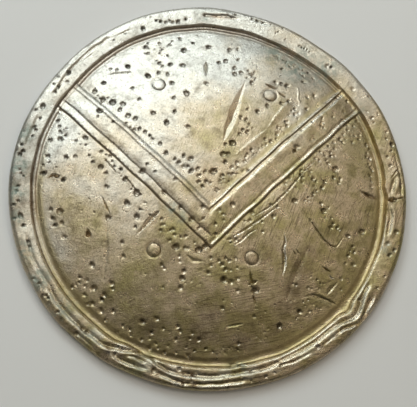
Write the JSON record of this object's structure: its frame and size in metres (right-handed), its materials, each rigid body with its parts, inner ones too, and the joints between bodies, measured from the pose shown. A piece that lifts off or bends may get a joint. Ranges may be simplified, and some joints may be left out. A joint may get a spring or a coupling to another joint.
{
  "type": "small cast brass round shield",
  "caption": "Shallow domed round shield cast in brass, with a flat rim, a raised V band, flush rivets and two strap handles in the hollow.",
  "frame": {"origin": "centre of the plate, on the plane that the rim's flat underside rests on", "axes": "+Z out of the shield's face, +Y towards the open end of the V band, +X to the right of somebody who looks at the face with +Y up"},
  "size_m": [0.15, 0.15, 0.0128],
  "materials": {
    "plate_brass": "aged cast brass: brushed and worn bright on top, brown tarnish low down, green patina along the rim",
    "rivet_brass": "worn brass, brushed flush with the plate",
    "strap_brass": "dull brown strip brass, unpolished"
  },
  "bodies": {
    "root": {"shield_plate": "plate_brass", "rivet_upper_left": "rivet_brass", "rivet_upper_right": "rivet_brass", "rivet_lower_left": "rivet_brass", "rivet_lower_right": "rivet_brass", "hand_strap": "strap_brass", "arm_strap": "strap_brass"}
  },
  "joints": []
}
